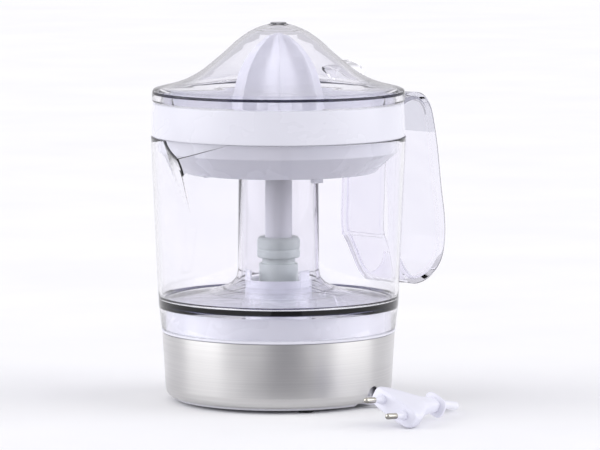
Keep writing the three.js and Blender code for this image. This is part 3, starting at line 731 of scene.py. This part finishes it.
def under_plate():
    """The bottom, with the ring-shaped store that the lead winds into."""
    outline = [
        (0, 2), (33.5, 2), (33.5, 3.4), (26.3, 3.4), (26.3, 9.6), (51, 9.6), (51, 2), (67.2, 2),
        (68.4, 3.2), (68.4, 13), (66.6, 13), (66.6, 4.4), (53, 4.4), (53, 11.4), (24.3, 11.4),
        (24.3, 5.4), (9, 5.4), (9, 16), (6.4, 16), (6.4, 7), (0, 7),
    ]
    plate = turned("under_plate", softened(outline, 0.5), 128, closed=False)
    channel = bar("channel", (-14, -4.6, 1), (70, 4.6, 8.9))
    start, way = Vector(CORD_ROUTE[0]), Vector(CORD_ROUTE[2]) - Vector(CORD_ROUTE[0])
    channel.data.transform(
        Matrix.Translation((start.x, start.y, 0))
        @ Matrix.Rotation(math.atan2(way.y, way.x), 4, "Z")
    )
    cut(plate, channel)
    return settle(clean(plate), PALE, "root", ["base_plate"])


FEET_RING = 60  # the feet's distance from the drive axis, in millimetres


def feet():
    outline = [(0, 0), (4.6, 0), (5.5, 0.8), (5.5, 2.8), (4.4, 3.0), (0, 3.0)]
    made = []
    for i, angle in enumerate((0, 120, 240)):
        pad = turned(f"rubber_foot_{i + 1}", softened(outline, 0.5, closed=False), 32, closed=False)
        turn = math.radians(angle)
        at = Vector((math.cos(turn), math.sin(turn), 0)) * FEET_RING * MM
        pad.data.transform(Matrix.Translation(at))
        made.append(settle(pad, RUBBER, "root", [f"foot_{i + 1}"]))
    return made


def wall_levels(low, high, count):
    """Points up a straight wall, so that it can be pushed out between them."""
    (r0, z0), (r1, z1) = low, high
    return [(r0 + (r1 - r0) * i / count, z0 + (z1 - z0) * i / count) for i in range(1, count)]


SPOUT_FOOT, RIM_Z, RIM_R = 124.0, 170.7, 81.9
SPOUT_REACH, SPOUT_DIP, SPOUT_HALF = 11.6, 8.8, math.radians(20)


def draw_out_spout(jug):
    """Pushes the wall out into a keeled spout towards -X, and lowers its lip."""
    for vertex in jug.data.vertices:
        x, y, z = vertex.co.x / MM, vertex.co.y / MM, vertex.co.z / MM + FOOT_DROP
        radius = math.hypot(x, y)
        if z <= SPOUT_FOOT or radius < 70:
            continue
        up = (z - SPOUT_FOOT) / (RIM_Z - SPOUT_FOOT)
        off = abs(math.atan2(y, -x)) / (SPOUT_HALF * max(up, 0.02) ** 0.75)
        if off >= 1:
            continue
        share = (1 - off) ** 1.05
        lift = max(0.0, (z - 150) / (RIM_Z - 150))
        grown = radius + SPOUT_REACH * up ** 0.95 * share
        vertex.co.x *= grown / radius
        vertex.co.y *= grown / radius
        vertex.co.z -= SPOUT_DIP * MM * share * lift ** 1.2


def jug_body():
    """The clear jug: skirt, floor, tapered wall and the hollow column that clears the tower."""
    outer_low, outer_high = (77.4, 66.4), (RIM_R, RIM_Z)
    inner_low, inner_high = (75.3, 68.4), (RIM_R - 2.2, RIM_Z)
    levels = 30
    column = [(45, 70.6), (36, 73.4), (30.4, 76.2), (27.2, 79.6), (26.1, 85), (25.6, 158),
              (23.6, 158), (24, 84), (25, 78.4), (28.6, 74), (34, 71.2), (44, 68.2)]
    outline = (
        [(73.1, 47.4), (75.3, 47.4), (77.2, 62.6), outer_low]
        + wall_levels(outer_low, outer_high, levels) + [outer_high, inner_high]
        + wall_levels(inner_high, inner_low, levels) + [inner_low, (73.6, 66.2)]
        + column + [(73.2, 63.2), (74.9, 61)]
    )
    jug = turned("clear_jug", softened(outline, 0.7), 216)
    draw_out_spout(jug)
    return settle(jug, CLEAR, "jug", ["jug_body"], 40)


HANDLE_LOOP = [
    (82.5, 169), (88, 181), (98, 190), (109, 193.6), (119, 192), (126.5, 185), (130.5, 173.5),
    (134.4, 155), (138, 130), (141.2, 112), (142, 97.5), (140, 85), (134.6, 76), (126, 70),
    (116, 67.2), (107, 68), (99, 74.6), (92, 85), (86.6, 93.6), (82.2, 100), (80.5, 108),
    (81, 124), (81.8, 145),
]


HANDLE_HALF = 18.0  # half the grip's width, in millimetres


def jug_handle():
    """A band drawn as a loop, widened, thickened inwards, with a lip along both edges."""
    loop = [Vector((x, 0, z - FOOT_DROP)) * MM for x, z in HANDLE_LOOP]
    wrapped = [loop[-1], *loop, loop[0], loop[1]]
    line = catmull_rom(wrapped, 6)[6:-6]
    deselect()
    bpy.ops.mesh.primitive_plane_add(size=MM)
    band = bpy.context.object
    band.name = "clear_handle"
    bpy.ops.object.mode_set(mode="EDIT")
    bpy.ops.mesh.select_mode(type="VERT")
    bpy.ops.mesh.select_all(action="SELECT")
    bpy.ops.mesh.merge(type="CENTER")
    near_edge = Vector((0, -HANDLE_HALF * MM, 0))
    here = line[0] + near_edge
    bpy.ops.transform.translate(value=here)
    for point in line[1:]:
        place = point + near_edge
        bpy.ops.mesh.extrude_region_move(TRANSFORM_OT_translate={"value": place - here})
        here = place
    bpy.ops.mesh.select_all(action="SELECT")
    bpy.ops.mesh.remove_doubles(threshold=1e-6)
    for step in (2.6, 15.4, 15.4, 2.6):
        bpy.ops.mesh.extrude_region_move(TRANSFORM_OT_translate={"value": (0, step * MM, 0)})
    leave_edit()
    clean(band)
    band.data.materials.append(CLEAR)
    band.data.materials.append(CLEAR)
    apply_modifier(
        band, "SOLIDIFY", thickness=2.8 * MM, offset=-1, use_even_offset=True, material_offset=1,
        material_offset_rim=0,
    )
    edit(band)
    lip = 15.3 * MM
    choose_faces(band, lambda face: face.material_index == 1 and abs(face.center.y) > lip)
    bpy.ops.mesh.extrude_region_shrink_fatten(TRANSFORM_OT_shrink_fatten={"value": 2.2 * MM})
    leave_edit()
    ledge = bar("ledge", (80.6, -17.4, 99.6), (87.4, 17.4, 101.6))
    cut(band, ledge, "UNION")
    rounded_edges(band, 0.5, 2, 50)
    return settle(clean(band), SHADED_CLEAR_HANDLE, "jug", ["jug_handle"], 40)


def slots(count, width, inner, outer, bottom, top):
    """Cutters for a ring of radial slots."""
    slot = bar("slot", (inner, -width / 2, bottom), (outer, width / 2, top))
    return joined("slots", copies_round(slot, [360 * (i + 0.5) / count for i in range(count)]))


def collector():
    """The white collar and basket in the jug's mouth, with drain slots and three small lugs."""
    outline = [
        (81.4, 171), (81.4, 172.6), (80.6, 191.7), (80.1, 192.7), (78.2, 192.7), (76.6, 172),
        (74.6, 163), (61, 150.2), (28.4, 150.2), (28.4, 162.2), (18.4, 162.2), (18.4, 168),
        (16.8, 168), (16.8, 160.3), (26.2, 160.3), (26.2, 148), (62, 148), (63, 148.8),
        (77, 161.6), (78.6, 171),
    ]
    bowl = turned("white_collector", softened(outline, 1.2), 192)
    cut(bowl, slots(8, 3.6, 33, 56, 145, 152))
    lug = bar("lug", (44, -3.4, 144), (48, 3.4, 149))
    cut(bowl, joined("lugs", copies_round(lug, [15, 135, 255])), "UNION")
    return settle(clean(bowl), WHITE, "collector", ["juice_collector"])


def sieve():
    """The slotted pan that keeps the pips back."""
    outline = [
        (28.8, 150.6), (60, 150.6), (66, 156.2), (66, 157.8), (59.4, 152.2), (30.4, 152.2),
        (30.4, 164.4), (20.6, 164.4), (20.6, 170), (14.5, 170), (14.5, 168.4), (19, 168.4),
        (19, 162.6), (28.8, 162.6),
    ]
    pan = turned("white_sieve", softened(outline, 0.5), 160)
    cut(pan, slots(28, 1.6, 34, 57, 149, 154))
    return settle(clean(pan), WHITE, "sieve", ["sieve_insert"])


CONE_RIBS = 7
RIB_TURN = math.radians(19.3)
CONE_LEVELS = [
    (34.5, 0), (33.6, 4), (33, 8), (31.9, 16), (30.4, 24), (29.5, 30), (28.3, 36), (26.8, 41),
    (24.9, 46), (22.9, 50), (20.6, 54), (18.2, 57), (15.6, 60), (13.1, 62.4), (10.4, 64.6),
    (7.8, 66.3), (5, 67.6), (2.6, 68.7), (0, 69.1),
]
CONE_FOOT_Z = 167.5
HOLLOW_DEPTH = 5.4


def cone():
    """The reamer: turned, then hollowed between its ribs."""
    outside = [(36, 0), (36, 1.4), (34.8, 1.8)] + CONE_LEVELS[1:]
    inside = [(0, 56.5), (12, 51.5), (20, 41.5), (24.4, 28.5), (31.5, 0)]
    outline = [(r, CONE_FOOT_Z + h) for r, h in inside + outside]
    reamer = turned(
        "reaming_cone", softened(outline, 1.0, closed=False), CONE_RIBS * 18, closed=False
    )
    for vertex in reamer.data.vertices:
        x, y, h = vertex.co.x / MM, vertex.co.y / MM, vertex.co.z / MM + FOOT_DROP - CONE_FOOT_Z
        radius = math.hypot(x, y)
        surface = next(
            (a[0] + (b[0] - a[0]) * (h - a[1]) / (b[1] - a[1])
             for a, b in zip(CONE_LEVELS, CONE_LEVELS[1:]) if a[1] <= h <= b[1]), 0.0,
        )
        if h < 2 or radius < surface - 1.2 or radius < 0.01:
            continue
        phase = ((math.atan2(y, x) - RIB_TURN) / TURN * CONE_RIBS) % 1
        valley = math.sin(math.pi * phase) ** 0.8
        depth = HOLLOW_DEPTH * min(1, (h - 2) / 8) * min(1, radius / 16)
        shrink = (radius - depth * valley) / radius
        vertex.co.x *= shrink
        vertex.co.y *= shrink
    return settle(reamer, SHADED_CONE_WHITE, "reamer", ["cone"], 28)


def spindle():
    """The tube that carries the cone, with the drive coupler clipped to its foot."""
    coupler = turned("drive_coupler", softened([
        (8.6, 104.6), (8.6, 99), (11.4, 98.4), (11.4, 92.3), (13.4, 92.3), (13.8, 93.4), (13.8, 97),
        (13.4, 97.4), (13.4, 98.2), (13.8, 98.6), (13.8, 103.4), (12.6, 105), (9.5, 105.2),
    ], 0.6), 96)
    settle(coupler, GREY_GREEN, "reamer")
    outline = [
        (0, 99.2), (8.3, 99.2), (8.7, 99.6), (8.7, 176.2), (7, 176.2), (7, 190), (0, 190),
    ]
    tube = turned("drive_spindle_tube", softened(outline, 0.8, closed=False), 96, closed=False)
    return settle(tube, SPINDLE, "reamer", ["drive_spindle"])


def fair(points, steps=4):
    """A smooth curve of (radius, height) through the given points."""
    return [(p.x, p.y) for p in catmull_rom([Vector((r, z, 0)) for r, z in points], steps)]


HOOD_FOOT = 204.0


def lid_pull():
    """The finger pull: a thin hood that rises from the lid's slope towards +X, open outwards."""
    deselect()
    bpy.ops.mesh.primitive_grid_add(x_subdivisions=12, y_subdivisions=20, size=2)
    hood = bpy.context.object
    hood.name = "lid_pull"
    for vertex in hood.data.vertices:
        along, across = (vertex.co.x + 1) / 2, vertex.co.y
        radius = 45 + 23 * along
        half = 9 + 3 * along
        top = 213.5 + 2.8 * math.sin(math.pi / 2 * min(1, along * 1.1))
        angle = across * math.pi / 2
        rise = (top - HOOD_FOOT) * max(0.0, math.cos(angle)) ** 0.7
        vertex.co = Vector((radius, half * math.sin(angle), HOOD_FOOT - FOOT_DROP + rise)) * MM
    apply_modifier(hood, "SOLIDIFY", thickness=1.5 * MM, offset=-1, use_even_offset=True)
    return clean(hood)


def dust_lid():
    """The clear bell with its turned-in brim, a small flat disc on top, and the finger pull."""
    outside = [(81.2, 193.1), (81.2, 198.6), (80.9, 199.8)] + fair([
        (80.2, 200.9), (78.0, 201.8), (73, 203), (67.6, 204.4), (62, 206.2), (57.2, 208.3),
        (51.5, 211.5), (46, 215.4), (36.1, 223.6), (30, 229.2), (24.3, 234), (16.1, 239.2),
        (8, 242.2), (5.3, 242.8),
    ], 3) + [(5, 243.7), (0, 243.7)]
    inside = [(0, 240.6)] + fair([
        (6, 240.2), (14.8, 237.2), (23, 232), (28.5, 227.2), (34.6, 221.7), (44.8, 213.2),
        (50.4, 209.4), (56.4, 206.2), (61.6, 204.1), (67.1, 202.4), (75.6, 200.2),
    ], 3) + [(76.4, 198), (75.2, 189), (76.4, 189), (77.6, 193.1)]
    lid = turned("clear_lid", softened(inside + outside, 0.8, closed=False), 192, closed=False)
    under = [(0, 150), (80, 150)] + [(r, z - 0.6) for r, z in outside[2:]]
    bulk = turned("bulk", under, 96, closed=False)
    pull = lid_pull()
    cut(pull, bulk)
    cut(lid, pull, "UNION")
    return settle(clean(lid), CLEAR_LID, "lid", ["lid"], 40)


# ---- making ----
lead = cord_curve()
moulding = plug_moulding()
moulding.data.transform(PLUG_MATRIX)
dress(lead, CORD_PVC)
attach(lead, "root")
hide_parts("mains_cord", "mains_cord_coil")
settle(moulding, PLUG_PVC, "root", ["plug_body"])
hub_exit = coil_points()[4] - Vector((0, 0, FOOT_DROP * MM))
plug_contact(1, 1)
plug_contact(2, -1)

motor_sleeve()
housing()
under_plate()
feet()
jug_body()
jug_handle()
collector()
sieve()
cone()
spindle()
dust_lid()

FINISHES = {
    "brushed_stainless": STEEL, "white_abs": WHITE, "pale_abs": PALE, "clear_plastic": CLEAR,
    "grey_green_plastic": GREY_GREEN, "black_rubber": RUBBER, "plated_steel": PLATED,
    "nylon": NYLON, "bronze": BRONZE, "copper_winding": COPPER, "switch_black": BLACK_PLASTIC,
    "cord_pvc": CORD_PVC, "nickel_pin": NICKEL,
}
for part in frame["record"]["subparts"]:
    dress(nodes[part["node"]], FINISHES[part["material_slot"]])

# ---- studio ----
deselect()
bpy.ops.mesh.primitive_plane_add(size=60, location=(0, 0, -FOOT_DROP * MM))
floor = bpy.context.object
floor.name = "floor"
dress(floor, studio_floor())

world = bpy.data.worlds.new("studio")
scene.world = world
world.use_nodes = True
world.node_tree.nodes["Background"].inputs["Color"].default_value = srgb("#fbfaff")
world.node_tree.nodes["Background"].inputs["Strength"].default_value = 0.72


def low_sun(name, turn, elevation, strength, width):
    """A far, wide lamp; it lights the whole floor evenly. turn is measured from the camera."""
    bpy.ops.object.light_add(type="SUN")
    lamp = bpy.context.object
    lamp.name = name
    lamp.data.energy = strength
    lamp.data.angle = math.radians(width)
    a, e = CAMERA_AZIMUTH + math.radians(turn), math.radians(elevation)
    back = Vector((math.sin(a) * math.cos(e), -math.cos(a) * math.cos(e), math.sin(e)))
    lamp.location = back * 2
    lamp.rotation_mode = "QUATERNION"
    lamp.rotation_quaternion = back.to_track_quat("Z", "Y")
    return lamp


low_sun("broad_light_left", -82, 24, 1.5, 60)
low_sun("broad_light_right", 82, 24, 1.35, 60)


def card_cloth(name, pale, deep):
    """Cloth, woven close: takes most of the light, and gives gloss and glass their dark lines."""
    material, tree, shader = new_material(name)
    place = add_node(tree, "ShaderNodeTexCoord").outputs["Object"]
    weave = add_node(tree, "ShaderNodeTexNoise", {"Scale": 40.0}, {"Vector": place})
    tone = add_node(tree, "ShaderNodeValToRGB", links={"Fac": weave.outputs["Fac"]})
    set_ramp(tone, [(0.3, srgb(deep)), (0.7, srgb(pale))])
    shader.inputs["Roughness"].default_value = 0.95
    tree.links.new(tone.outputs["Color"], shader.inputs["Base Color"])
    return material


DARK_CLOTH = card_cloth("dark_cloth", "#55555b", "#4c4c52")
GREY_CLOTH = card_cloth("grey_cloth", "#adadb1", "#a5a5a9")


def card(name, cloth, size_x, size_y, turn, distance, height, standing, through_glass=False):
    """A cloth card that only glossy surfaces, and clear ones if asked, can see."""
    deselect()
    bpy.ops.mesh.primitive_plane_add(size=1)
    sheet = bpy.context.object
    sheet.name = name
    a = CAMERA_AZIMUTH + math.radians(turn)
    tilt = Matrix.Rotation(math.pi / 2, 4, "X") if standing else Matrix.Identity(4)
    sheet.data.transform(
        Matrix.Translation((math.sin(a) * distance, -math.cos(a) * distance, height))
        @ Matrix.Rotation(a, 4, "Z") @ tilt @ Matrix.Diagonal((size_x, size_y, 1, 1))
    )
    dress(sheet, cloth)
    sheet.visible_camera = sheet.visible_diffuse = sheet.visible_shadow = False
    sheet.visible_transmission = through_glass
    return sheet


card("floor_card", GREY_CLOTH, 0.16, 3.0, 7, 1.6, -0.001, False)
card("standing_card", GREY_CLOTH, 2.4, 2.6, 7, 3.4, 1.3, True)
card("edge_card", DARK_CLOTH, 2.4, 0.5, 7, 3.5, 0.25, True, True)
